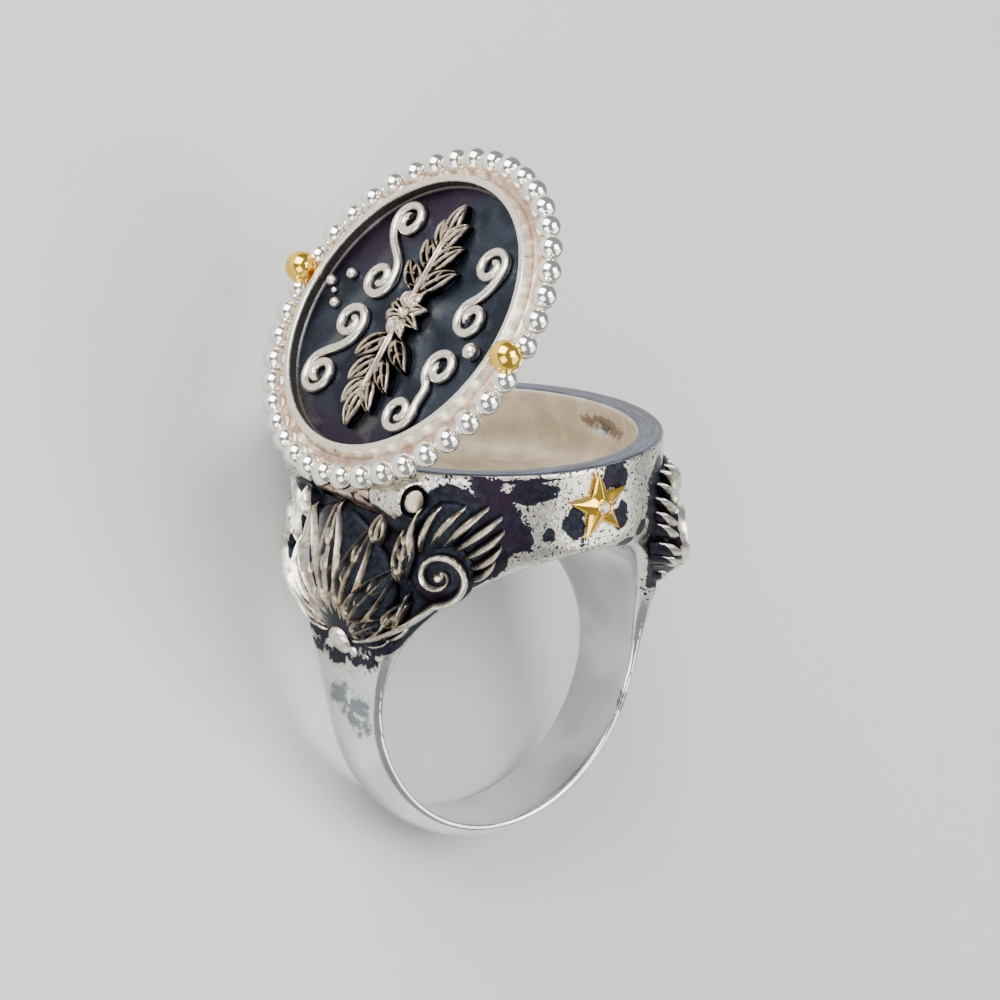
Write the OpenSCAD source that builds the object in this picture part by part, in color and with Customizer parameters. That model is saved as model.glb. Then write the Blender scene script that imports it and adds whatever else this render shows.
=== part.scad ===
// A silver locket ring: a round box on a flared band, with a hinged lid that stands open.
// Everything is modelled on the ring's own axes, X across the finger, Y along it and Z up to the box,
// and is then turned as a whole so that the ring lies on the side of its box and band.

/* [Finger hole and band] */
// Radius of the finger hole
finger_r = 10; // [9:0.1:11]
// Width of the band at its lowest point
band_w = 5.1; // [4:0.1:6.5]
// Thickness of the band at its lowest point
band_t = 1.3; // [1.1:0.1:2]
// Distance from the middle of the hole to the outside of each shoulder
side_x = 11.25; // [11:0.05:11.8]
// How much wider each side of the band is under the box than at its lowest point
flare = 8.5; // [7:0.1:9]

/* [Box] */
// Height of the box's rim above the middle of the finger hole
rim_z = 15.65; // [15:0.05:16.5]
// Outer radius of the box
box_r = 11.15; // [10.8:0.05:11.5]
// Radius of the space inside the box
inner_r = 9.6; // [9:0.1:9.8]
// How far that space sits towards the hinge, which leaves the rim wider at the far end
inner_shift = 0.25; // [0:0.05:0.4]
// Height of the box's floor above the middle of the finger hole
floor_z = 11.3; // [11:0.05:11.8]

/* [Hinge] */
// Distance of the hinge's axis from the middle of the box
hinge_x = -10.26; // [-10.5:0.02:-10]
// Height of the hinge's axis above the middle of the finger hole
hinge_z = 13.9; // [13.7:0.05:14]
// Radius of the hinge pin
pin_r = 0.6; // [0.5:0.05:0.7]
// Radius of the barrel round the pin
barrel_r = 1.4; // [1.3:0.05:1.5]
// Length of the whole barrel
barrel_l = 12; // [10:0.5:13]
// Length of the lid's knuckle in the middle of the barrel
knuckle_l = 5.8; // [4:0.2:7]
// How far the lid stands open, in degrees
lid_open = 53.4; // [0:0.2:58]

/* [Lid] */
// Number of beads in the border
bead_n = 40; // [36:2:44]
// Radius of a border bead
bead_r = 0.76; // [0.7:0.02:0.8]
// Radius of a gold ball
ball_r = 1; // [0.9:0.05:1.1]
// How far round the border, towards the front, the line through both gold balls is turned, in degrees
ball_turn = 3.4; // [0:0.2:5]
// Thickness of the raised ring round the field
bezel_t = 0.65; // [0.5:0.05:0.8]
// Thickness of the scroll wire
wire_d = 0.56; // [0.4:0.02:0.7]

/* [Shoulder ornament] */
// How far the ornament stands proud of the box's wall at its top
relief_h = 1.5; // [1.2:0.1:1.8]
// Height of the ornament's foot above the middle of the finger hole
relief_z = 3.6; // [3:0.1:4.5]
// Width of an ornament leaf
leaf_w = 1.7; // [1.2:0.1:2]

/* [Star] */
// Radius of the gold star to its tips
star_r = 2.32; // [2:0.02:2.6]
// How far the star's middle stands off the wall
star_h = 0.78; // [0.6:0.02:1]
// Height of the star's middle above the middle of the finger hole
star_z = 13.15; // [12.8:0.05:13.4]
// Radius of the star's stone
stone_r = 0.43; // [0.35:0.01:0.5]

/* [How the ring lies] */
// Lean of the ring from lying flat, towards its band, in degrees
lay_tilt = 22.9; // [10:0.1:25]
// Roll of the ring about its height, in degrees, with its lid's side down when below zero
lay_roll = -3.6; // [-20:0.1:20]

/* [Hidden] */
$fn = 72;
silver = [0.78, 0.77, 0.74];
gold = [0.86, 0.66, 0.25];
clear_stone = [0.9, 0.93, 0.96];
gap = 0.04;
past = 3;
stations = 72;
section_steps = 14;
flare_pow = 4.5;
swing_w = 14;
knuckle_r = barrel_r - 0.1;
knuckle_gap = 0.15;
pin_ring = 0.27;
pin_ring_depth = 0.45;
lid_z = rim_z + 0.06;
plate_t = 0.64;
field_z = lid_z + plate_t;
bead_z = lid_z + bead_r + 0.02;
bead_ring_r = box_r - 0.1;
bead_gap = 6.2;
bezel_z = bead_z + bead_r;
bezel_r = box_r - 1.4;
ball_ring_r = bead_ring_r - 0.1;
ball_z = field_z + ball_r;
curl_r = 0.78;
relief_top = hinge_z - 0.6;
relief_face = box_r + relief_h;
leaf_foot = 1.6;
stone_z = star_h - 0.12;
stone_top = 0.2;
stone_depth = 0.36;

function ease(k) = let(c = max(0, min(1, k))) c * c * (3 - 2 * c);
function mix(a, b, k) = a + (b - a) * k;

// The angle t goes round the finger hole from the lowest point of the band, at 0, to the box, at 180.
function half_w(t) = band_w / 2 + flare * pow((1 - cos(t)) / 2, flare_pow);
function lean(t) = 0.3 * ease((t - 75) / 70);
function squareness(t) = mix(3, 8, ease((t - 90) / 40));
function outer_r(t) = cos(t) > 0
    ? side_x + (finger_r + band_t - side_x) * pow(cos(t), 2)
    : min(side_x / max(sin(t), 0.01), (rim_z + 1) / max(-cos(t), 0.01));

// One point of the band's section: k runs over the outside from one side of the band to the other.
function section_point(t, k) =
    let(q = 180 * k / section_steps)
    let(e = 2 / squareness(t))
    let(rise = (outer_r(t) - finger_r) * pow(sin(q), e))
    let(across = (cos(q) < 0 ? -1 : 1) * pow(abs(cos(q)), e))
    [across * (half_w(t) + lean(t) * rise), finger_r + rise];
function section(t) = concat(
    [for (k = [1:section_steps - 1]) section_point(t, k)],
    [[-half_w(t), finger_r - past], [half_w(t), finger_r - past]]);
function placed(p, angle) = [p[1] * sin(angle), p[0], -p[1] * cos(angle)];

module lay_down() {
    rotate([0, 0, 180])
        rotate([0, lay_roll, 0])
            rotate([lay_tilt - 90, 0, 0])
                children();
}

module at_hinge() {
    translate([hinge_x, 0, hinge_z])
        children();
}

module opened() {
    at_hinge()
        rotate([0, -lid_open, 0])
            translate([-hinge_x, 0, -hinge_z])
                children();
}

module along_finger(r, l) {
    translate([0, l / 2, 0])
        rotate([90, 0, 0])
            cylinder(r = r, h = l);
}

// The band, its flared shoulders and the foot of the box in one ring of sections.
module flared_band() {
    size = section_steps + 1;
    points = [for (i = [0:stations - 1])
        let(angle = 360 * i / stations)
        let(t = angle > 180 ? 360 - angle : angle)
        for (p = section(t)) placed(p, angle)];
    faces = [for (i = [0:stations - 1]) for (j = [0:size - 1])
        let(next_i = (i + 1) % stations)
        let(next_j = (j + 1) % size)
        [i * size + next_j, next_i * size + next_j, next_i * size + j, i * size + j]];
    polyhedron(points, faces, convexity = 6);
}

// Keeps the box round, and lets the band swell below it.
module outer_limit() {
    band_limit = box_r + 1;
    rotate_extrude()
        polygon([
            [0, -finger_r - past],
            [band_limit, -finger_r - past],
            [band_limit, 0],
            [box_r, 7],
            [box_r, rim_z],
            [0, rim_z]
        ]);
}

// A pointed leaf between two arcs, growing along +X of its own plane from its foot.
module leaf_shape(length, width) {
    r = (length * length + width * width) / (4 * width);
    translate([length / 2, 0])
        intersection() {
            translate([0, r - width / 2])
                circle(r = r);
            translate([0, width / 2 - r])
                circle(r = r);
        }
}

// A fan of leaves, as its outline along the finger and up.
module fan_shape() {
    turns = [0, 21, 41, 58];
    lengths = [7.9, 7.6, 7.3, 5.8];
    for (side = [-1, 1]) {
        for (i = [0:3])
            translate([0, relief_z])
                rotate([0, 0, 90 + side * turns[i]])
                    translate([leaf_foot, 0])
                        leaf_shape(lengths[i], leaf_w);
        translate([side * 1.8, relief_z + 0.5])
            circle(r = 0.7);
    }
    translate([0, relief_z])
        circle(r = 1.2);
}

// A curl with a short leaf over it.
module curl_shape() {
    middle_z = relief_z + 6.6;
    translate([0, middle_z])
        difference() {
            circle(r = 1.65);
            circle(r = 1);
        }
    translate([0, middle_z])
        circle(r = 0.55);
    translate([0, middle_z + 1.5])
        rotate([0, 0, 90])
            leaf_shape(2.4, 1.5);
}

// The outer face that the ornament's leaves are cut from: it swells below and thins at its top and foot.
module relief_bulge() {
    rotate_extrude()
        polygon([
            [0, relief_z - 1.5],
            [box_r - 0.2, relief_z - 1.5],
            [relief_face - 0.3, relief_z + 0.8],
            [relief_face + 0.4, relief_z + 2.8],
            [relief_face + 0.4, relief_z + 4.8],
            [relief_face, relief_z + 7],
            [relief_face - 0.3, relief_top],
            [0, relief_top]
        ]);
}

module outward(turn) {
    rotate([0, 0, turn])
        translate([5, 0, 0])
            rotate([90, 0, 90])
                linear_extrude(10)
                    children();
}

// The ornament of one shoulder: the fan in its middle, and a curl round the wall on each side of it.
module shoulder_ornament(turn) {
    curl_turn = 41;
    rotate([0, 0, turn])
        intersection() {
            relief_bulge();
            union() {
                outward(0)
                    fan_shape();
                outward(curl_turn)
                    curl_shape();
                outward(-curl_turn)
                    curl_shape();
            }
        }
}

// The space inside the box, and the cut in its wall where the lid's end swings.
module box_cuts() {
    translate([-inner_shift, 0, floor_z])
        cylinder(r = inner_r, h = rim_z);
    translate([hinge_x - 5, -swing_w / 2, hinge_z])
        cube([5, swing_w, 5]);
}

module knuckle_space() {
    at_hinge()
        along_finger(knuckle_r + knuckle_gap, knuckle_l + 2 * knuckle_gap);
    translate([hinge_x - past, -knuckle_l / 2 - knuckle_gap, hinge_z])
        cube([past + knuckle_r + knuckle_gap, knuckle_l + 2 * knuckle_gap, 5]);
}

// The hollow inside the wall, opposite the hinge, that the lid's catch would snap into.
module catch_notch() {
    notch_r = 0.75;
    notch_l = 3;
    translate([inner_r - inner_shift - 0.6, 0, rim_z - 1.7])
        along_finger(notch_r, notch_l);
}

module pin_bores() {
    at_hinge() {
        along_finger(pin_r + gap, barrel_l + past);
        for (side = [-1, 1])
            translate([0, side * barrel_l / 2, 0])
                along_finger(pin_r + pin_ring, 2 * pin_ring_depth);
    }
}

module ring_body() {
    color(silver)
        lay_down()
            difference() {
                union() {
                    difference() {
                        union() {
                            intersection() {
                                flared_band();
                                outer_limit();
                            }
                            shoulder_ornament(0);
                            shoulder_ornament(180);
                        }
                        box_cuts();
                    }
                    at_hinge()
                        along_finger(barrel_r, barrel_l);
                }
                along_finger(finger_r, 4 * finger_r);
                knuckle_space();
                catch_notch();
                pin_bores();
            }
}

module hinge_pin() {
    color(silver)
        lay_down()
            at_hinge()
                along_finger(pin_r, barrel_l + 0.1);
}

// A length of scroll wire from one point of the lid's field to another.
module wire(from, to) {
    run = to - from;
    translate([from[0], from[1], field_z + 0.1])
        rotate([0, 0, atan2(run[1], run[0])])
            rotate([0, 90, 0])
                cylinder(d = wire_d, h = norm(run));
}

// An S scroll: a curl at each end of a slanting stem, the stem passing outside one and inside the other.
module scroll(near, far, bend) {
    reach = [-0.3, bend * (curl_r - 0.1)];
    for (p = [near, far])
        translate([p[0], p[1], field_z + 0.1]) {
            rotate_extrude()
                translate([curl_r, 0])
                    circle(d = wire_d, $fn = 24);
            sphere(r = 0.36, $fn = 32);
        }
    wire(near + reach, far - reach);
}

// A twig with paired leaves, both ways from the middle of the lid.
module spray_shape() {
    for (turn = [0, 180])
        rotate([0, 0, turn]) {
            for (i = [0:3])
                translate([1.2 + 1.45 * i, 0])
                    for (leaf_turn = [-38, 38])
                        rotate([0, 0, leaf_turn])
                            leaf_shape(3.3 - 0.28 * i, 1.15 - 0.1 * i);
            translate([4.4, 0])
                leaf_shape(3.4, 1);
            translate([0, -0.16])
                square([6.5, 0.32]);
        }
}

module granule(x, y, r) {
    translate([x, y, field_z + r / 2])
        sphere(r = r, $fn = 32);
}

module lid_ornament() {
    root = 0.2;
    boss_r = 0.8;
    scroll([5.86, 4.44], [1.72, 4.27], 1);
    scroll([-1.52, 4.69], [-5.25, 4.96], -1);
    scroll([4.6, -4.82], [1.04, -5.5], -1);
    scroll([-2.4, -5.2], [-5.95, -4], 1);
    translate([0, 0, field_z - root]) {
        linear_extrude(root + 0.42)
            spray_shape();
        cylinder(r = 1.75, h = root + 0.55);
    }
    translate([0, 0, field_z + 0.45])
        sphere(r = boss_r, $fn = 40);
    granule(1.46, 6.98, 0.38);
    granule(0.62, 8.3, 0.38);
    granule(-0.67, 7.08, 0.36);
    granule(-0.92, -7.13, 0.56);
}

// Beads stand in two runs, one on each side of the lid, from one gold ball to the other.
module bead_border() {
    half = bead_n / 2;
    step = (180 - 2 * bead_gap) / (half - 1);
    for (side = [0, 1])
        for (i = [0:half - 1]) {
            turn = 180 * side - 90 - ball_turn + bead_gap + step * i;
            rotate([0, 0, turn])
                translate([bead_ring_r, 0, bead_z])
                    sphere(r = bead_r, $fn = 48);
        }
}

module ball_place(side) {
    rotate([0, 0, -ball_turn])
        translate([0, side * ball_ring_r, 0])
            children();
}

module gold_ball(side) {
    ball_place(side)
        translate([0, 0, ball_z])
            sphere(r = ball_r);
}

module ball_seat(side) {
    ball_place(side)
        translate([0, 0, field_z - gap])
            cylinder(r = ball_r + gap, h = past);
}

module closed_lid() {
    neck_w = 1.3;
    overlap = 0.3;
    difference() {
        union() {
            translate([0, 0, lid_z])
                cylinder(r = bead_ring_r - 0.2, h = plate_t);
            difference() {
                translate([0, 0, field_z - 0.1])
                    cylinder(r = bezel_r, h = bezel_z - field_z + 0.1);
                translate([0, 0, field_z])
                    cylinder(r = bezel_r - bezel_t, h = past);
            }
            bead_border();
            lid_ornament();
            at_hinge()
                along_finger(knuckle_r, knuckle_l);
            translate([hinge_x - neck_w / 2, -knuckle_l / 2, hinge_z + overlap])
                cube([neck_w, knuckle_l, lid_z - hinge_z]);
        }
        at_hinge()
            along_finger(pin_r + gap, knuckle_l + past);
        ball_seat(-1);
        ball_seat(1);
    }
}

module lid() {
    color(silver)
        lay_down()
            opened()
                closed_lid();
}

module gold_ball_front() {
    color(gold)
        lay_down()
            opened()
                gold_ball(-1);
}

module gold_ball_back() {
    color(gold)
        lay_down()
            opened()
                gold_ball(1);
}

// Places a thing on the wall at the star's middle, with its own +Z out of the wall.
module off_wall(height) {
    translate([0, -box_r - height, star_z])
        rotate([90, 0, 0])
            children();
}

// A five pointed star with a ridge along each arm, its back following the curve of the box's wall.
module star() {
    turn = 7;
    edge_h = 0.3;
    waist_r = star_r * 0.43;
    wall_y = function(x) -sqrt(box_r * box_r - x * x) - gap;
    outline = [for (i = [0:9])
        let(r = i % 2 == 0 ? star_r : waist_r)
        let(angle = 90 + turn + 36 * i)
        [r * cos(angle), star_z + r * sin(angle)]];
    front = [for (p = outline) [p[0], wall_y(p[0]) - edge_h, p[1]]];
    back = [for (p = outline) [p[0], wall_y(p[0]), p[1]]];
    points = concat(front, back, [[0, -box_r - star_h, star_z], [0, -box_r - gap, star_z]]);
    faces = concat(
        [for (i = [0:9]) [i, 20, (i + 1) % 10]],
        [for (i = [0:9]) [10 + i, 10 + (i + 1) % 10, 21]],
        [for (i = [0:9]) [i, (i + 1) % 10, 10 + (i + 1) % 10]],
        [for (i = [0:9]) [i, 10 + (i + 1) % 10, 10 + i]]);
    color(gold)
        lay_down()
            difference() {
                polyhedron(points, faces);
                off_wall(stone_z - stone_depth - gap)
                    cylinder(r1 = 0.12, r2 = 2 * stone_r, h = 0.8);
            }
}

// A round stone with a flat table, eight crown facets and eight facets below its widest line.
module star_stone() {
    color(clear_stone)
        lay_down()
            off_wall(stone_z) {
                cylinder(r1 = stone_r, r2 = stone_r * 0.55, h = stone_top, $fn = 8);
                mirror([0, 0, 1])
                    cylinder(r1 = stone_r, r2 = 0.08, h = stone_depth, $fn = 8);
            }
}

ring_body();
hinge_pin();
lid();
gold_ball_front();
gold_ball_back();
star();
star_stone();
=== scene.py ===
from math import atan2, cos, degrees, hypot, pi, radians, sin

import bpy
import numpy as np
from mathutils import Matrix, Vector
from mathutils.bvhtree import BVHTree


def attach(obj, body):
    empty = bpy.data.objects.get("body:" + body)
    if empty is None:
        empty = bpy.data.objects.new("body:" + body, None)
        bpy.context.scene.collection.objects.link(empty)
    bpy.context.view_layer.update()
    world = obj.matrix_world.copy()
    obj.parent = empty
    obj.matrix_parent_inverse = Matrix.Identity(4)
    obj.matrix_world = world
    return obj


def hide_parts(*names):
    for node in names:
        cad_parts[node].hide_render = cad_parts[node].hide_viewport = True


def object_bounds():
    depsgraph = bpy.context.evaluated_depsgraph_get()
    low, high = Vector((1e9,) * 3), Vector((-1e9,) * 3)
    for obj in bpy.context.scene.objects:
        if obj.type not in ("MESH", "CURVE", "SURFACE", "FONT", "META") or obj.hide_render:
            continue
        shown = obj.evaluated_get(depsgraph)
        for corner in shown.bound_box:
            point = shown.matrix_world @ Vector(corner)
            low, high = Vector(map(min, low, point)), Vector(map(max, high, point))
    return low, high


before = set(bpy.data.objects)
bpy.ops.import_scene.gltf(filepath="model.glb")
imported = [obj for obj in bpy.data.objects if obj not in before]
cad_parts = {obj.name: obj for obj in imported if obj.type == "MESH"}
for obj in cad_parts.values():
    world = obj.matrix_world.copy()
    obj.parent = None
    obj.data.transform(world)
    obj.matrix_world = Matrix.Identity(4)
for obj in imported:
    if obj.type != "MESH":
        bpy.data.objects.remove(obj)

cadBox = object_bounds()
print("Frame loaded")

# Everything is modelled in millimetres on the ring's own axes: X across the finger, Y along it, Z up to the
# box. A piece is then laid down with the whole ring, and a piece of the lid is opened first.
ring = {
    "tilt": 22.9,
    "roll": -3.6,
    "lidOpen": 53.4,
    "hingeX": -10.26,
    "hingeZ": 13.9,
    "millimetre": 0.001,
}


def turned(angle, axis):
    return Matrix.Rotation(radians(angle), 4, axis)


ringTurn = turned(180, "Z") @ turned(ring["roll"], "Y") @ turned(ring["tilt"] - 90, "X")
ringPlace = ringTurn @ Matrix.Scale(ring["millimetre"], 4)
hingePlace = Matrix.Translation((ring["hingeX"], 0, ring["hingeZ"]))
lidPlace = ringPlace @ hingePlace @ turned(-ring["lidOpen"], "Y") @ hingePlace.inverted()


def added(name, data):
    thing = bpy.data.objects.new(name, data)
    bpy.context.scene.collection.objects.link(thing)
    return thing


# Camera at the photo's angle to the ring
view = {
    "turn": -38.48,
    "rise": 16.44,
    "roll": -0.81,
    "distance": 313.75,
    "aim": (2.53, 1.74, 9.96),
    "lens": 177.05,
    "sensor": 36,
}


def pictureAxes():
    turn, rise = radians(view["turn"]), radians(view["rise"])
    back = Vector((sin(turn) * cos(rise), -cos(turn) * cos(rise), sin(rise)))
    right = Vector((cos(turn), sin(turn), 0))
    level = back.cross(right)
    roll = radians(view["roll"])
    return right * cos(roll) - level * sin(roll), right * sin(roll) + level * cos(roll), back


def inPicture(right, up, back):
    # A place given along the picture's own axes, in millimetres from the point that the camera looks at
    axes = pictureAxes()
    return ringPlace @ (Vector(view["aim"]) + axes[0] * right + axes[1] * up + axes[2] * back)


def addCamera():
    axes = Matrix(pictureAxes()).transposed().to_4x4()
    camera = bpy.data.cameras.new("camera")
    camera.sensor_width = view["sensor"]
    camera.lens = view["lens"]
    camera.clip_start = 0.01
    seen = added("camera", camera)
    seen.matrix_world = Matrix.Translation(inPicture(0, 0, view["distance"])) @ ringTurn @ axes
    bpy.context.scene.camera = seen


addCamera()
print("Camera placed")


def rampUp(low, high, values):
    share = np.clip((values - low) / (high - low), 0, 1)
    return share * share * (3 - 2 * share)


def mix(low, high, share):
    return low + (high - low) * share


# Helpers for making pieces
def enter(mode):
    bpy.ops.object.mode_set(mode=mode)


def selectAll(action="SELECT"):
    enter("EDIT")
    bpy.ops.mesh.select_all(action=action)


def settle():
    bpy.ops.object.transform_apply(location=True, rotation=True, scale=True)
    return bpy.context.object


def pick(*pieces):
    bpy.ops.object.select_all(action="DESELECT")
    for piece in pieces:
        piece.select_set(True)
    bpy.context.view_layer.objects.active = pieces[0]


def named(name):
    piece = bpy.context.object
    piece.name = name
    piece.data.name = name
    return piece


def joined(pieces, name):
    pick(*pieces)
    if len(pieces) > 1:
        bpy.ops.object.join()
    return named(name)


def applied(piece, kind, **settings):
    pick(piece)
    modifier = piece.modifiers.new(kind.lower(), kind)
    for key, value in settings.items():
        setattr(modifier, key, value)
    bpy.ops.object.modifier_apply(modifier=modifier.name)
    return piece


def cut(piece, tool, operation="DIFFERENCE"):
    applied(piece, "BOOLEAN", operation=operation, solver="EXACT", object=tool)
    bpy.data.objects.remove(tool)
    return piece


def placesOf(piece):
    flat = np.empty(len(piece.data.vertices) * 3, np.float32)
    piece.data.vertices.foreach_get("co", flat)
    return flat.reshape(-1, 3).astype(float)


def moveTo(piece, places):
    piece.data.vertices.foreach_set("co", np.asarray(places, np.float32).ravel())
    piece.data.update()


def tidyNormals(piece):
    pick(piece)
    selectAll()
    bpy.ops.mesh.remove_doubles(threshold=0.0005)
    bpy.ops.mesh.normals_make_consistent(inside=False)
    enter("OBJECT")


def spun(name, outline, steps=128):
    # Spins an outline of (radius, height) points round Z into a closed body
    mesh = bpy.data.meshes.new(name)
    mesh.from_pydata([(r, 0, z) for r, z in outline], [(i, i + 1) for i in range(len(outline) - 1)], [])
    piece = added(name, mesh)
    pick(piece)
    selectAll()
    bpy.ops.mesh.spin(steps=steps, angle=2 * pi, center=(0, 0, 0), axis=(0, 0, 1))
    enter("OBJECT")
    tidyNormals(piece)
    return piece


def arcPoints(middle, radius, fromAngle, toAngle, steps=6):
    angles = [radians(fromAngle + (toAngle - fromAngle) * i / steps) for i in range(steps + 1)]
    return [(middle[0] + radius * cos(a), middle[1] + radius * sin(a)) for a in angles]


def shifted(piece, matrix):
    pick(piece)
    piece.matrix_world = matrix @ piece.matrix_world
    return settle()


def onHinge(piece):
    # A body made along Z is laid along the hinge's axis, its top towards the front
    return shifted(piece, hingePlace @ turned(90, "X"))


def wire(name, points, thickness, radii):
    # A round wire through the points, thinned by the radii
    curve = bpy.data.curves.new(name, "CURVE")
    curve.dimensions = "3D"
    curve.bevel_depth = thickness / 2
    curve.bevel_resolution = 4
    curve.use_fill_caps = True
    spline = curve.splines.new("POLY")
    spline.points.add(len(points) - 1)
    for point, place, radius in zip(spline.points, points, radii):
        point.co = (*place, 1)
        point.radius = radius
    pick(added(name, curve))
    bpy.ops.object.convert(target="MESH")
    return bpy.context.object


def ball(place, radius, segments=24, rings=16):
    bpy.ops.mesh.primitive_uv_sphere_add(segments=segments, ring_count=rings, radius=radius, location=place)
    return settle()


def oval(middle, halves):
    piece = ball((0, 0, 0), 1)
    moveTo(piece, placesOf(piece) * halves + middle)
    return piece


def keepSpots(piece):
    # Every point keeps its place on the ring's own axes, in millimetres, for the materials to read
    spots = piece.data.attributes.new("spot", "FLOAT_VECTOR", "POINT")
    spots.data.foreach_set("vector", placesOf(piece).astype(np.float32).ravel())


def keepAmount(piece, name, amounts):
    attribute = piece.data.attributes.new(name, "FLOAT", "POINT")
    attribute.data.foreach_set("value", np.clip(amounts, 0, 1).astype(np.float32))


def finished(piece, name, place, body, material, smoothAngle=180):
    pick(piece)
    named(name)
    if smoothAngle >= 180:
        bpy.ops.object.shade_smooth()
    else:
        bpy.ops.object.shade_smooth_by_angle(angle=radians(smoothAngle))
    if "spot" not in piece.data.attributes:
        keepSpots(piece)
    shifted(piece, place)
    piece.data.materials.clear()
    piece.data.materials.append(material)
    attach(piece, body)
    print("Finished", name, len(piece.data.polygons))
    return piece


# Colours of the materials
tones = {
    "polished": (0.88, 0.87, 0.83),
    "polishedShade": (0.66, 0.69, 0.68),
    "warm": (0.82, 0.79, 0.73),
    "warmShade": (0.56, 0.50, 0.41),
    "wall": (0.78, 0.75, 0.69),
    "cream": (0.62, 0.56, 0.46),
    "pit": (0.30, 0.25, 0.19),
    "satin": (0.82, 0.77, 0.68),
    "satinShade": (0.70, 0.63, 0.53),
    "wire": (0.82, 0.77, 0.69),
    "wireShade": (0.66, 0.59, 0.50),
    "wireFoot": (0.13, 0.07, 0.05),
    "oxide": (0.006, 0.007, 0.012),
    "oxideGrey": (0.019, 0.024, 0.036),
    "plum": (0.020, 0.008, 0.021),
    "field": (0.009, 0.012, 0.020),
    "fieldGrey": (0.034, 0.043, 0.060),
    "scratch": (0.12, 0.12, 0.11),
    "rosy": (0.42, 0.24, 0.18),
    "beige": (0.72, 0.62, 0.47),
    "beigeShade": (0.58, 0.48, 0.36),
    "umber": (0.20, 0.13, 0.09),
    "rim": (0.13, 0.15, 0.21),
    "rimShade": (0.05, 0.055, 0.08),
    "smudge": (0.16, 0.18, 0.20),
    "beads": (0.95, 0.92, 0.84),
    "pin": (0.50, 0.42, 0.33),
    "gold": (0.97, 0.60, 0.09),
    "stone": (0.97, 0.98, 1.0),
    "stoneShade": (0.90, 0.94, 1.0),
    "floor": (0.48, 0.48, 0.475),
    "sky": (0.93, 0.96, 1.0),
}


# Helpers for making materials. They add to the node tree of the material that newMaterial made last.
making = {}


def newMaterial(name):
    material = bpy.data.materials.new(name)
    material.use_nodes = True
    making["tree"] = material.node_tree
    shader = next(n for n in material.node_tree.nodes if n.type == "BSDF_PRINCIPLED")
    return material, shader


def newNode(kind):
    return making["tree"].nodes.new(kind)


def fill(socket, value):
    if isinstance(value, (int, float)):
        socket.default_value = value
    elif isinstance(value, tuple):
        socket.default_value = (*value, 1)
    else:
        making["tree"].links.new(value, socket)


def coat(shader, colour, roughness, metallic=0):
    fill(shader.inputs["Base Color"], colour)
    fill(shader.inputs["Roughness"], roughness)
    fill(shader.inputs["Metallic"], metallic)


def attribute(name, output="Fac"):
    node = newNode("ShaderNodeAttribute")
    node.attribute_name = name
    return node.outputs[output]


def noise(place, scale, detail=3, roughness=0.55, distortion=0):
    node = newNode("ShaderNodeTexNoise")
    settings = {"Vector": place, "Scale": scale, "Detail": detail, "Roughness": roughness,
                "Distortion": distortion}
    for name, value in settings.items():
        fill(node.inputs[name], value)
    return node.outputs["Fac"]


def ramp(value, low, high, top=1):
    # Nothing up to the low value, and from there up to the top share at the high one
    node = newNode("ShaderNodeValToRGB")
    fill(node.inputs["Fac"], value)
    start, end = node.color_ramp.elements
    start.position = low
    end.position = high
    end.color = (top, top, top, 1)
    return node.outputs["Color"]


def reckoned(operation, first, second):
    node = newNode("ShaderNodeMath")
    node.operation = operation
    fill(node.inputs[0], first)
    fill(node.inputs[1], second)
    return node.outputs[0]


def plus(first, second):
    return reckoned("ADD", first, second)


def minus(first, second):
    return reckoned("SUBTRACT", first, second)


def times(first, second):
    return reckoned("MULTIPLY", first, second)


def most(first, second):
    return reckoned("MAXIMUM", first, second)


def swing(value, amount):
    # A noise about nought
    return times(minus(value, 0.5), amount)


def blended(share, first, second):
    node = newNode("ShaderNodeMix")
    node.data_type = "RGBA"
    for index, value in ((0, share), (6, first), (7, second)):
        fill(node.inputs[index], value)
    return node.outputs[2]


def bumped(shader, height, strength, distance):
    node = newNode("ShaderNodeBump")
    for name, value in (("Strength", strength), ("Distance", distance), ("Height", height)):
        fill(node.inputs[name], value)
    fill(shader.inputs["Normal"], node.outputs["Normal"])


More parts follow.
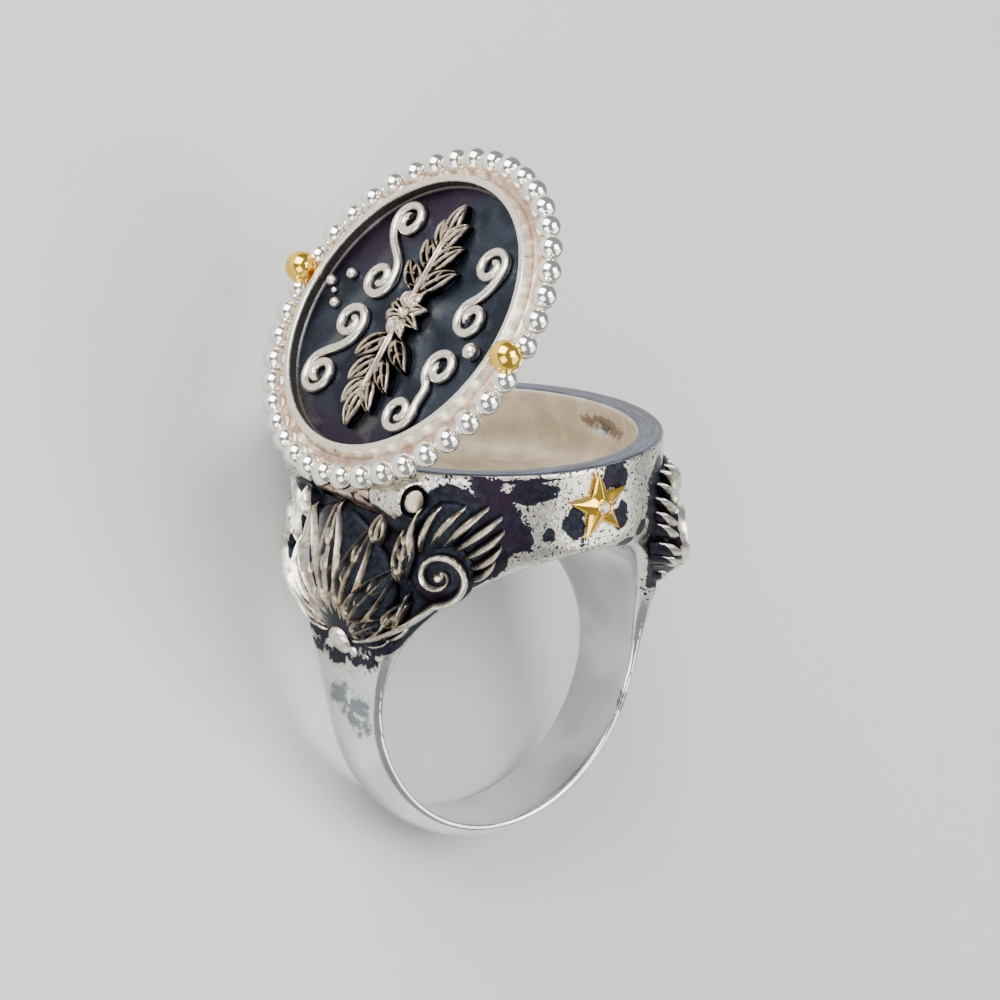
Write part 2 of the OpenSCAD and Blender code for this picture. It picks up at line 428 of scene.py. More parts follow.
# Materials
def bodyMaterial():
    # Polished band, pitted wall with oxide patches, dark ground round the ornament, beige inside, cool rim
    material, shader = newMaterial("aged silver body")
    zones = ("relief", "aged", "stain", "inside", "rim", "ground", "smudge")
    relief, aged, stain, inside, rim, ground, smudge = (attribute(zone) for zone in zones)
    spot = attribute("spot", "Vector")
    broad = noise(spot, 0.75, 3, 0.5, 0.6)
    fine = noise(spot, 2.6, 4, 0.62)
    specks = noise(spot, 4.5, 3, 0.6)
    cloud = noise(spot, 0.22, 2, 0.5, 0.5)

    # Ragged patches: the charted stains, broken up by the noise, with specks among them
    grain = plus(swing(broad, 1.7), swing(fine, 0.8))
    patch = ramp(plus(stain, grain), 0.49, 0.515)
    speck = plus(specks, times(broad, 0.35))
    speck = ramp(plus(speck, times(stain, 0.12)), 0.765, 0.79)
    patch = times(most(patch, speck), ramp(aged, 0.2, 0.5))
    # Dark in the low places of the ornament, worn off its crests
    low = plus(minus(ground, relief), times(grain, 0.5))
    dark = most(patch, ramp(low, 0.47, 0.55))
    oxide = blended(ramp(fine, 0.42, 0.66), tones["oxide"], tones["oxideGrey"])
    oxide = blended(ramp(cloud, 0.50, 0.68, 0.8), oxide, tones["plum"])

    # Bare silver: polished on the band, warmer round the ornament, pitted on the wall
    wall = blended(ramp(fine, 0.38, 0.60), tones["cream"], tones["wall"])
    pitted = ramp(plus(specks, times(stain, 0.12)), 0.56, 0.66, 0.6)
    wall = blended(pitted, wall, tones["pit"])
    clean = blended(ramp(cloud, 0.38, 0.62), tones["polished"], tones["polishedShade"])
    warm = blended(ramp(fine, 0.40, 0.60), tones["warmShade"], tones["warm"])
    colour = blended(aged, blended(ground, clean, warm), wall)
    # Ragged grey smudges
    smear = plus(times(smudge, 0.8), times(grain, 1.5))
    smear = times(ramp(smear, 0.40, 0.72, 0.9), ramp(smudge, 0, 0.4))
    colour = blended(smear, colour, tones["smudge"])
    colour = blended(dark, colour, oxide)
    # Brush marks run round the rim
    rolled = noise(attribute("rolled", "Vector"), 1.0, 4, 0.7)
    brushed = blended(ramp(rolled, 0.44, 0.56), tones["rim"], tones["rimShade"])
    colour = blended(rim, colour, brushed)
    # Scars on the beige inside
    beige = blended(ramp(broad, 0.42, 0.62), tones["beige"], tones["beigeShade"])
    scar = ramp(plus(smudge, swing(fine, 1.6)), 0.45, 0.6, 0.8)
    scar = most(scar, ramp(specks, 0.70, 0.74, 0.6))
    colour = blended(inside, colour, blended(scar, beige, tones["umber"]))

    rough = times(most(aged, ground), 0.14)
    for zone, amount in ((dark, 0.16), (inside, 0.42), (rim, 0.16), (cloud, 0.08)):
        rough = plus(rough, times(zone, amount))
    coat(shader, colour, plus(rough, 0.10), minus(minus(1, times(dark, 0.15)), times(inside, 0.7)))
    pits = times(most(aged, 0.04), plus(fine, specks))
    bumped(shader, times(minus(pits, patch), 0.6), 0.5, 0.0001)
    return material


def lidMaterial():
    # Dark field, satin bezel and underside, rosy crevice between the bezel and the beads, worn knuckle
    material, shader = newMaterial("aged silver lid")
    zones = ("field", "crevice", "worn", "plum")
    field, crevice, worn, plum = (attribute(zone) for zone in zones)
    spot = attribute("spot", "Vector")
    broad = noise(spot, 0.30, 3, 0.5, 0.4)
    middling = noise(spot, 0.9, 4, 0.55, 0.5)
    fine = noise(spot, 2.4, 4, 0.6)
    scratches = noise(spot, 9, 2, 0.7, 1.5)

    satin = blended(ramp(fine, 0.4, 0.7), tones["satinShade"], tones["satin"])
    satin = blended(ramp(middling, 0.50, 0.64, 0.6), satin, tones["cream"])
    rosy = blended(ramp(middling, 0.30, 0.60), tones["cream"], tones["rosy"])
    colour = blended(most(crevice, worn), satin, rosy)
    stained = plus(middling, plus(times(worn, 0.16), times(fine, 0.2)))
    stained = ramp(stained, 0.80, 0.84)
    colour = blended(stained, colour, tones["oxide"])
    oxide = blended(ramp(broad, 0.38, 0.62), tones["field"], tones["fieldGrey"])
    purple = plus(plum, swing(broad, 1.6))
    oxide = blended(ramp(purple, 0.30, 0.85, 0.85), oxide, tones["plum"])
    pale = ramp(plus(broad, times(scratches, 0.25)), 0.70, 0.82, 0.5)
    oxide = blended(pale, oxide, tones["scratch"])
    rough = plus(times(fine, 0.16), times(stained, 0.2))
    coat(shader, blended(field, colour, oxide), plus(rough, 0.20), 0.9)
    relief = plus(fine, times(scratches, 0.3))
    bumped(shader, minus(relief, stained), 0.30, 0.00008)
    return material


def wireMaterial():
    # Satin silver, brown and then dark in its low places
    material, shader = newMaterial("satin silver wire")
    fine = noise(attribute("spot", "Vector"), 3, 4, 0.6)
    edge = plus(attribute("deep"), swing(fine, 0.8))
    colour = blended(ramp(fine, 0.38, 0.68), tones["wireShade"], tones["wire"])
    colour = blended(ramp(edge, 0.20, 0.42), colour, tones["wireFoot"])
    colour = blended(ramp(edge, 0.46, 0.62), colour, tones["oxide"])
    coat(shader, colour, 0.26, 1)
    bumped(shader, fine, 0.25, 0.00005)
    return material


def polishedMaterial(name, tone, roughness, ripple):
    material, shader = newMaterial(name)
    fine = noise(attribute("spot", "Vector"), 1.6, 3, 0.5)
    shade = tuple(0.86 * part for part in tone)
    colour = blended(ramp(fine, 0.35, 0.65), tone, shade)
    coat(shader, colour, plus(roughness, times(fine, roughness)), 1)
    bumped(shader, fine, ripple, 0.00005)
    return material


def stoneMaterial():
    material, shader = newMaterial("clear stone")
    fine = noise(attribute("spot", "Vector"), 3)
    coat(shader, blended(fine, tones["stone"], tones["stoneShade"]), 0.02)
    fill(shader.inputs["IOR"], 2.4)
    fill(shader.inputs["Transmission Weight"], 0.75)
    return material


silverBody = bodyMaterial()
silverLid = lidMaterial()
silverWire = wireMaterial()
brightBeads = polishedMaterial("bright beads", tones["beads"], 0.08, 0.12)
brushedPin = polishedMaterial("brushed pin", tones["pin"], 0.2, 0.4)
polishedGold = polishedMaterial("polished gold", tones["gold"], 0.09, 0.12)
clearStone = stoneMaterial()
print("Materials made")


# Band, shoulders and box, cast as one body
band = {
    "holeR": 10,
    "width": 5.1,
    "thickness": 1.3,
    "sideX": 11.25,
    "flare": 8.5,
    "flarePower": 4.5,
    "lean": 0.3,
    "edge": 0.15,
    "archEdge": 0.8,
    "rings": 180,
    "sides": 64,
    "grain": 0.168,
    "smoothing": 6,
}

box = {
    "rimZ": 15.65,
    "outerR": 11.15,
    "innerR": 9.6,
    "innerShift": 0.25,
    "floorZ": 11.3,
    "edge": 0.12,
    "fillet": 1.3,
    # Hollow of the catch: its middle and half sizes
    "catch": (8.8, 0, 13.95),
    "catchHalf": (0.85, 1.7, 0.6),
}

hinge = {
    "pinR": 0.6,
    "barrelR": 1.4,
    "barrelLength": 12,
    "knuckleLength": 5.8,
    "knuckleR": 1.3,
    "gap": 0.15,
    "lugR": 1.25,
    "headR": 0.72,
    "headLength": 0.3,
    "ringR": 0.98,
    "ringDepth": 0.45,
    "swingWidth": 14,
    # Solder in the corners of the barrel: middle from the hinge, and half sizes
    "solder": (
        ((0.75, 5.2, -0.75), (0.9, 1.15, 0.95)),
        ((0.2, 4.4, -1.3), (0.95, 1.7, 1.1)),
        ((0.9, 5.5, 0.1), (0.75, 0.75, 0.9)),
    ),
}


def halfWidth(turn):
    return band["width"] / 2 + band["flare"] * ((1 - cos(turn)) / 2) ** band["flarePower"]


def outerRadius(turn):
    lowest = band["holeR"] + band["thickness"]
    if cos(turn) > 0:
        return band["sideX"] + (lowest - band["sideX"]) * cos(turn) ** 2
    return min(band["sideX"] / max(sin(turn), 0.01), (box["rimZ"] + 1) / max(-cos(turn), 0.01))


def flaredBand():
    # A torus whose every ring of points is moved to the band's section there
    bpy.ops.mesh.primitive_torus_add(major_segments=band["rings"], minor_segments=band["sides"],
                                     major_radius=band["holeR"], minor_radius=1)
    piece = named("flared band")
    moved = []
    for x, y, z in placesOf(piece):
        angle = atan2(x, -y)
        turn = abs(angle)
        around = atan2(hypot(x, y) - band["holeR"], z)
        square = mix(2, 8, rampUp(85, 130, degrees(turn)))
        across = cos(around)
        # The hole's edges are rounded over, more so under the box
        soft = mix(band["edge"], band["archEdge"], rampUp(60, 130, degrees(turn)))
        inward = min(max((abs(across) - 1) * halfWidth(turn) / soft + 1, 0), 1)
        rise = soft * (1 - (1 - inward * inward) ** 0.5)
        if sin(around) > 0:
            rise = soft + (outerRadius(turn) - band["holeR"] - soft) * sin(around) ** (2 / square)
            across = abs(across) ** (2 / square) * (1 if across > 0 else -1)
        width = halfWidth(turn) + band["lean"] * rampUp(75, 145, degrees(turn)) * rise
        radius = band["holeR"] + rise
        moved.append((radius * sin(angle), across * width, -radius * cos(angle)))
    moveTo(piece, moved)
    tidyNormals(piece)
    return piece


def boxLimit():
    low = -band["holeR"] - 3
    outer, edge = box["outerR"], box["edge"]
    rimCorner = arcPoints((outer - edge, box["rimZ"] - edge), edge, 0, 90, 4)
    return spun("box limit", [(0, low), (outer + 1, low), (outer + 1, 0), (outer, 7), *rimCorner,
                              (0, box["rimZ"])], 192)


def boxHollow():
    fillet, edge = box["fillet"], box["edge"]
    floorCorner = arcPoints((box["innerR"] - fillet, box["floorZ"] + fillet), fillet, -90, 0, 5)
    rimCorner = arcPoints((box["innerR"] + edge, box["rimZ"] - edge), edge, 180, 90, 4)
    hollow = spun("box hollow", [(0, box["floorZ"]), *floorCorner, *rimCorner, (12, box["rimZ"]), (12, 20),
                                 (0, 20)], 160)
    return shifted(hollow, Matrix.Translation((-box["innerShift"], 0, 0)))


def block(low, high):
    middle = [(a + b) / 2 for a, b in zip(low, high)]
    bpy.ops.mesh.primitive_cube_add(size=1, location=middle)
    bpy.context.object.scale = [b - a for a, b in zip(low, high)]
    return settle()


def rod(radius, length):
    bpy.ops.mesh.primitive_cylinder_add(vertices=64, radius=radius, depth=length)
    return onHinge(bpy.context.object)


# Ornament of a shoulder, worked flat as (along the wall, up, height) and then wrapped onto the wall
ornament = {
    "cushion": 1.15,
    "rootR": 10.9,
    "crestHeight": 1.7,
    "crest": ((1.9, 10.95), (3.6, 11.9), (4.6, 12.35), (6.4, 13.0), (8.4, 13.0), (10.6, 12.6), (13.3, 12.35)),
    "footZ": 3.6,
    "fanTurns": (0, 20, 39, 60),
    "fanLengths": (7.9, 7.6, 6.2, 3.6),
    "leafFoot": 1.3,
    "leafWidth": 1.95,
    # Leaves between the fan and the scroll and under the foot: place, turn, length and width
    "fillers": (
        (4.95, 8.3, 8, 4.4, 1.3),
        (3.9, 5.3, 38, 2.6, 1.1),
        (3.3, 10.6, 12, 2.3, 1.0),
        (0.0, 2.5, 180, 1.5, 0.9),
        (0.75, 2.8, 148, 1.8, 0.9),
        (1.9, 3.3, 128, 1.5, 0.8),
    ),
    "spiral": (7.45, 9.35),
    "spiralR": 1.8,
    "spiralTurns": 1.55,
    # Bosses at the fan's foot: along, up, radius and height
    "bosses": (
        (0, 3.7, 1.1, 1.7),
        (0, 2.35, 0.45, 1.4),
        (1.2, 3.15, 0.5, 1.4),
        (-1.2, 3.15, 0.5, 1.4),
    ),
    # How far the dark ground reaches out from the far ornament and the near one
    "reaches": (0.7, 1.7),
}


def ridge(path, width, crest, rings=16, taper=0.55, segments=10, flatness=0.7, worn=True):
    # A tapered ridge along a line: a ball drawn out along it, its lower half sunk into the ground. A worn one
    # is bright on its crest, any other is dark all over.
    piece = ball((0, 0, 0), 1, segments, rings)
    x, y, z = placesOf(piece).T
    path = np.array(path, float)
    reach = np.concatenate([[0], np.cumsum(np.hypot(*np.diff(path, axis=0).T))])
    s = np.arccos(np.clip(-z, -1, 1)) / pi
    away = s * reach[-1]
    places = [np.interp(away, reach, side) for side in path.T]
    step = reach[-1] * 0.01
    ahead = [np.interp(away + step, reach, side) - np.interp(away - step, reach, side) for side in path.T]
    length = np.maximum(np.hypot(*ahead), 1e-9)
    cross = np.maximum(np.hypot(x, y), 1e-6)
    body = np.sin(pi * np.clip(s, 0, 1)) ** taper
    t = x / cross * body * width / 2
    rise = np.clip(y / cross, 0, 1) ** flatness
    height = np.where(y > 0, crest * (0.35 + 0.65 * body) * rise * np.minimum(1, body * 3), -0.2)
    moveTo(piece, np.stack([places[0] + ahead[1] / length * t, places[1] - ahead[0] / length * t, height], 1))
    keepAmount(piece, "relief", rampUp(0.6, 0.9, rise * np.minimum(1, body * 3)) * worn)
    return piece


def bent(start, middle, end, steps=12):
    # Points along a line that bends towards the middle one
    found = []
    for i in range(steps + 1):
        s = i / steps
        weights = ((1 - s) ** 2, 2 * s * (1 - s), s * s)
        found.append([sum(w * p[k] for w, p in zip(weights, (start, middle, end))) for k in (0, 1)])
    return found


def leaf(foot, turn, length, width, low, high, veins, line):
    # A leaf in relief: its body, a rib, two edges and the veins between them. Turn 0 points up.
    a = radians(turn)

    def at(s, t):
        return foot[0] + s * length * sin(a) + t * cos(a), foot[1] + s * length * cos(a) - t * sin(a)

    pieces = [ridge([at(0, 0), at(1, 0)], width, low, 14, 0.7, 14, worn=False)]
    pieces.append(ridge([at(0.0, 0), at(0.97, 0)], line, high, 14))
    half = width / 2
    for flank in (-1, 1):
        edge = bent(at(0.02, 0.08 * flank), at(0.42, 1.55 * half * flank), at(1.02, 0), 14)
        pieces.append(ridge(edge, line, high * 0.96, 16))
        for k in range(veins):
            s = 0.14 + 0.66 * k / max(veins, 1)
            out = half * 0.8 * sin(pi * min(s + 0.22, 1)) ** 0.7
            vein = bent(at(s, 0), at(s + 0.12, out * 0.35 * flank), at(s + 0.22, out * flank), 6)
            pieces.append(ridge(vein, line * 0.7, high * 0.93, 8, 0.5, 8))
    return pieces


def flipped(path, mirrored):
    return [(u * mirrored, v) for u, v in path]


def fanPieces(mirrored):
    # The fan stands on a low cushion, so that its strokes are shallow but its outline swells out
    pieces = []
    if mirrored > 0:
        pieces.append(ridge([(0, 2.9), (0, 12.7)], 9.4, ornament["cushion"], 36, 0.6, 36, 0.45, worn=False))
    for turn, length in zip(ornament["fanTurns"], ornament["fanLengths"]):
        if mirrored < 0 and turn == 0:
            continue
        a = radians(turn * mirrored)
        base = (ornament["leafFoot"] * sin(a), ornament["footZ"] + ornament["leafFoot"] * cos(a))
        width = ornament["leafWidth"] * min(1, 0.35 + length / 9)
        pieces += leaf(base, turn * mirrored, length, width, 1.35, 1.6, 3 if length > 5 else 2, 0.27)
    for u, v, turn, length, width in ornament["fillers"]:
        if mirrored > 0 or u > 0:
            veins = 3 if length > 3 else 1
            pieces += leaf((u * mirrored, v), turn * mirrored, length, width, 1.0, 1.5, veins, 0.3)
    return pieces


# Strokes of the scroll's foliage, each from its root over a bend to its tip, with its width and its crest
foliage = (
    ((5.7, 10.0), (5.3, 11.9), (6.2, 13.5), 0.5, 1.5),
    ((6.2, 10.5), (6.2, 12.2), (7.5, 13.75), 0.54, 1.55),
    ((6.8, 10.9), (7.3, 12.4), (9.0, 13.8), 0.58, 1.6),
    ((7.5, 11.0), (8.4, 12.3), (10.4, 13.8), 0.6, 1.6),
    ((8.2, 10.8), (9.3, 11.8), (11.2, 13.2), 0.58, 1.6),
    ((8.7, 10.4), (9.9, 11.0), (11.3, 12.3), 0.54, 1.55),
    ((9.1, 9.8), (10.1, 10.1), (11.1, 11.3), 0.5, 1.5),
    ((9.2, 9.1), (10.0, 9.3), (10.7, 10.4), 0.44, 1.4),
    ((2.2, 4.0), (3.3, 3.7), (4.2, 4.7), 0.42, 1.2),
    ((3.6, 4.7), (4.6, 4.6), (5.4, 5.7), 0.42, 1.2),
    ((4.4, 5.6), (5.3, 6.6), (5.5, 8.0), 0.42, 1.45),
    ((3.4, 4.9), (4.2, 5.6), (4.5, 6.8), 0.38, 1.45),
)
# More of them under the far shoulder's scrolls
lowFoliage = (
    ((8.7, 7.9), (9.6, 7.9), (10.1, 9.0), 0.48, 1.45),
    ((7.7, 7.4), (9.0, 7.1), (9.7, 8.0), 0.46, 1.4),
    ((6.4, 7.0), (7.6, 6.6), (8.7, 7.2), 0.44, 1.35),
)


def scrollPieces(mirrored, strokes):
    middle = ornament["spiral"]
    coil = []
    steps = 70
    for i in range(steps + 1):
        s = i / steps
        a = radians(-95 + 360 * ornament["spiralTurns"] * s)
        r = mix(ornament["spiralR"], 0.3, s ** 0.85)
        coil.append((middle[0] + r * cos(a), middle[1] + r * sin(a)))
    stem = bent((1.3, 4.0), (4.3, 4.6), coil[0], 16)
    mound = [(middle[0], middle[1] - 2.15), (middle[0], middle[1] + 2.15)]
    upper = [(6.2, 10.4), (7.7, 12.6), (9.4, 13.2)]
    pieces = [
        ridge(flipped(stem[:-1] + coil, mirrored), 0.56, 1.7, 110, 0.2, 12),
        ridge(flipped(mound, mirrored), 4.3, 0.95, 24, 0.5, 28, 0.6, worn=False),
        ridge(flipped(upper, mirrored), 3.0, 0.85, 16, 0.5, 16, worn=False),
    ]
    for start, bend, end, width, crest in strokes:
        pieces.append(ridge(flipped(bent(start, bend, end), mirrored), width, crest, 14, 0.5))
    return [*pieces, drop(middle[0] * mirrored, middle[1], 0.42, 1.6)]


def drop(u, v, radius, height):
    # A round boss, worn bright over its upper half
    piece = oval((u, v, 0), (radius, radius, height))
    keepAmount(piece, "relief", rampUp(0.3, 0.7, placesOf(piece)[:, 2] / height))
    return piece


def wrapped(piece, side):
    heights, radii = zip(*ornament["crest"])
    u, v, h = placesOf(piece).T
    crest = np.interp(v, heights, radii)
    radius = mix(ornament["rootR"], crest, np.clip(h, -0.2, None) / ornament["crestHeight"])
    around = radians(side) + u / box["outerR"]
    moveTo(piece, np.stack([radius * np.cos(around), radius * np.sin(around), v], 1))
    return piece


def shoulderOrnament(side):
    pieces = []
    for mirrored in (1, -1):
        pieces += fanPieces(mirrored)
        pieces += scrollPieces(mirrored, foliage + lowFoliage if side == 0 else foliage)
    pieces += [drop(*boss) for boss in ornament["bosses"]]
    piece = wrapped(joined(pieces, "shoulder ornament"), side)
    keepZones(piece, {"aged": 0.18, "ground": 1, "stain": 0, "inside": 0, "rim": 0, "smudge": 0})
    return piece


def keepZones(piece, zones):
    for name, amounts in zones.items():
        keepAmount(piece, name, amounts + np.zeros(len(piece.data.vertices)))


# Stains on the wall: angle round the box and height of each, with its half width and half height
stains = {
    "places": (
        (-113, 14.4, 7.5, 0.5),
        (-117.5, 11.7, 4.6, 1.0),
        (-98.5, 12.2, 3.6, 1.1),
        (-82, 14.7, 4.4, 0.9),
        (-79.5, 12.2, 2.8, 0.8),
        (-67.5, 10.7, 2.4, 0.5),
        (-75, 10.1, 4.5, 0.3),
        (-59, 11.8, 4.5, 1.9),
        (-127, 14.2, 6, 1.1),
        (-108, 11.6, 2.4, 0.5),
        (-54, 14.0, 4, 0.6),
        (-126, 9.8, 3.5, 0.9),
        (60, 12.5, 6, 1.4),
        (84, 14.2, 7, 0.6),
        (101, 11.9, 5, 0.9),
        (118, 13.6, 5, 1.2),
        (-117, 15.2, 12, 0.14),
    ),
    # Smudges anywhere: middle, half sizes along each axis
    "smudges": (
        ((-11.2, 0.1, 0.1), (2, 1.5, 1.3)),
        ((-11.2, -1.2, -0.9), (2, 1.9, 1.8)),
        ((9.6, -2.6, -4.0), (0.7, 0.7, 1.0)),
        ((8.8, -0.3, 14.2), (1.6, 2.9, 0.75)),
    ),
}


def lugMass(side):
    # A barrel end with the solder that fills the corner between it and the wall
    x, z = ring["hingeX"], ring["hingeZ"]
    near, far = hinge["knuckleLength"] / 2 + hinge["gap"], hinge["barrelLength"] / 2
    lug = spun("lug", [(0, near), (hinge["barrelR"], near), (hinge["barrelR"], far - 1.6),
                       *arcPoints((hinge["lugR"] - 0.25, far - 0.25), 0.25, 0, 90, 4), (0, far)], 48)
    onHinge(lug if side < 0 else shifted(lug, turned(180, "X")))
    return [lug, *(oval((x + dx, y * side, z + dz), halves) for (dx, y, dz), halves in hinge["solder"])]


def castBody(ornaments):
    body = flaredBand()
    cut(body, boxLimit(), "INTERSECT")
    cut(body, boxHollow())
    x, z = ring["hingeX"], ring["hingeZ"]
    cut(body, block((x - 5, -hinge["swingWidth"] / 2, z), (x, hinge["swingWidth"] / 2, z + 5)))
    for side in (-1, 1):
        for mass in lugMass(side):
            cut(body, mass, "UNION")
    knuckleR = hinge["knuckleR"] + hinge["gap"]
    knuckleL = hinge["knuckleLength"] / 2 + hinge["gap"]
    cut(body, rod(knuckleR, 2 * knuckleL))
    cut(body, block((x - 3, -knuckleL, z), (x + knuckleR, knuckleL, z + 5)))
    for side in (-1, 1):
        recess = rod(hinge["ringR"], 2 * hinge["ringDepth"])
        cut(body, shifted(recess, Matrix.Translation((0, side * hinge["barrelLength"] / 2, 0))))
    cut(body, oval(box["catch"], box["catchHalf"]))
    print("Plain body cut", len(body.data.polygons))
    applied(body, "REMESH", mode="VOXEL", voxel_size=band["grain"], adaptivity=0)
    applied(body, "SMOOTH", factor=0.5, iterations=band["smoothing"])
    print("Cast body", len(body.data.polygons))
    bodyZones(body, ornaments)
    return body


def nearOrnament(spots, among, ornaments):
    # How close each point is to the shoulders' ornament: 1 where it touches, 0 out of its reach
    depsgraph = bpy.context.evaluated_depsgraph_get()
    ground = np.zeros(len(spots))
    for piece, reach in zip(ornaments, ornament["reaches"]):
        tree = BVHTree.FromObject(piece, depsgraph)
        near = np.full(len(spots), reach)
        for i in among:
            found = tree.find_nearest(Vector(spots[i]), reach)
            if found[3] is not None:
                near[i] = found[3]
        ground = np.maximum(ground, 1 - rampUp(0.1, reach, near))
    return ground


def bodyZones(body, ornaments):
    # Marks on the body for its material: which points are wall, rim, inside, stained or dark ground
    spots = placesOf(body)
    x, y, z = spots.T
    around = np.degrees(np.arctan2(y, x))
    boxRadius = np.hypot(x, y)
    holeRadius = np.hypot(x, z)
    outside = rampUp(9.9, 10.3, boxRadius) * rampUp(10.05, 10.35, holeRadius)
    inside = (1 - rampUp(9.62, 9.75, np.hypot(x + box["innerShift"], y))) * rampUp(11.0, 11.15, z)
    rim = rampUp(box["rimZ"] - 0.12, box["rimZ"] - 0.04, z)
    shoulder = np.minimum(np.abs(around), 180 - np.abs(around))
    lowEdge = np.interp(shoulder, (0, 15, 30, 45, 60), (1.8, 2.4, 4.8, 7.6, 9.4))
    aged = rampUp(lowEdge - 0.8, lowEdge + 0.8, z) * outside * (1 - inside)
    ground = nearOrnament(spots, np.flatnonzero((outside > 0) & (z > 0)), ornaments)
    ground = ground * outside * rampUp(lowEdge - 0.9, lowEdge + 0.5, z) * (0.6 + 0.4 * rampUp(2.8, 5.5, z))
    # Rubbed bright along the hole's edge
    ground = ground * rampUp(10.3, 10.9, holeRadius)
    offAxis = np.hypot(x - ring["hingeX"], z - ring["hingeZ"])
    recess = (1 - rampUp(hinge["ringR"] - 0.05, hinge["ringR"] + 0.08, offAxis)) * rampUp(5.4, 5.5, np.abs(y))
    stain = np.zeros(len(spots))
    for angle, middle, halfAngle, halfHeight in stains["places"]:
        away = np.sqrt(((around - angle) / halfAngle) ** 2 + ((z - middle) / halfHeight) ** 2)
        stain = np.maximum(stain, 1 - rampUp(0.1, 2.1, away))
    smudge = np.zeros(len(spots))
    for middle, half in stains["smudges"]:
        away = np.linalg.norm((spots - middle) / half, axis=1)
        smudge = np.maximum(smudge, 1 - rampUp(0.3, 1.3, away))
    keepZones(body, {
        "relief": 0,
        "aged": np.maximum(aged * (1 - rim), recess),
        "stain": np.maximum(stain, recess),
        "ground": np.maximum(ground * (1 - rim), recess),
        "inside": inside,
        "rim": rim,
        "smudge": smudge,
    })
    # Round the box, out from its middle, and up, for marks that follow the rim
    rolled = body.data.attributes.new("rolled", "FLOAT_VECTOR", "POINT")
    along = np.arctan2(y, x) * box["outerR"] * 0.35
    rolled.data.foreach_set("vector", np.stack([along, boxRadius * 4, z * 4], 1).astype(np.float32).ravel())


def makeBody():
    ornaments = [shoulderOrnament(0), shoulderOrnament(180)]
    print("Ornament made")
    body = castBody(ornaments)
    finished(body, "silver_body", ringPlace, "ring", silverBody)
    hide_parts("ring_body")
    for name, piece in zip(("ornament_far", "ornament_near"), ornaments):
        finished(piece, name, ringPlace, "ring", silverBody, 70)


def makeHinge():
    # The pin's ends are hammered out into low heads in their recesses
    length, r, head = hinge["barrelLength"] / 2 + 0.05, hinge["pinR"], hinge["headR"]
    neck = length - hinge["headLength"]
    outline = [(0, -length), *arcPoints((head - 0.1, -length + 0.1), 0.1, -90, 0, 4), (r, -neck), (r, neck)]
    outline += [*arcPoints((head - 0.1, length - 0.1), 0.1, 0, 90, 4), (0, length)]
    pin = spun("pin", outline, 48)
    finished(onHinge(pin), "turned_pin", ringPlace, "ring", brushedPin, 40)
    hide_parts("hinge_pin")


makeBody()
makeHinge()
print("Ring body and hinge made")


# Lid, worked closed
lid = {
    "underZ": 15.71,
    "fieldZ": 16.35,
    "beadZ": 16.49,
    "beadRingR": 11.05,
    "beadR": 0.76,
    "beadCount": 40,
    "beadGap": 6.2,
    "ballTurn": 3.4,
    "plateR": 10.85,
    "plateEdge": 0.15,
    "bezelR": 9.75,
    "bezelT": 0.6,
    "bezelBend": 0.12,
    "bezelZ": 17.25,
    "ballR": 1.0,
}


def lidPlate():
    # Its outline runs from the underside's middle round the edge and the bezel to the field's middle
    under, fieldZ, top = lid["underZ"], lid["fieldZ"], lid["bezelZ"]
    plateR, edge, bend = lid["plateR"], lid["plateEdge"], lid["bezelBend"]
    outer, inner = lid["bezelR"], lid["bezelR"] - lid["bezelT"]
    outline = [(0, under), (plateR - edge, under)]
    outline += arcPoints((plateR - edge, under + edge), edge, -90, 0, 3)
    outline += [(plateR, fieldZ - 0.1), (plateR - 0.35, fieldZ + 0.05), (outer + 0.40, fieldZ + 0.05)]
    outline += [(outer + 0.12, fieldZ + 0.18), (outer, fieldZ + 0.42)]
    outline += arcPoints((outer - 0.12 - bend, top - bend), bend, 10, 90, 4)
    outline += arcPoints((inner + bend, top - bend), bend, 90, 180, 4)
    outline += [(inner, top - 0.22), (inner, fieldZ + 0.15), (inner - 0.12, fieldZ + 0.02)]
    outline += [(r, fieldZ) for r in (8.5, 6.5, 4.5, 2.5, 0)]
    return spun("lid plate", outline, 160)


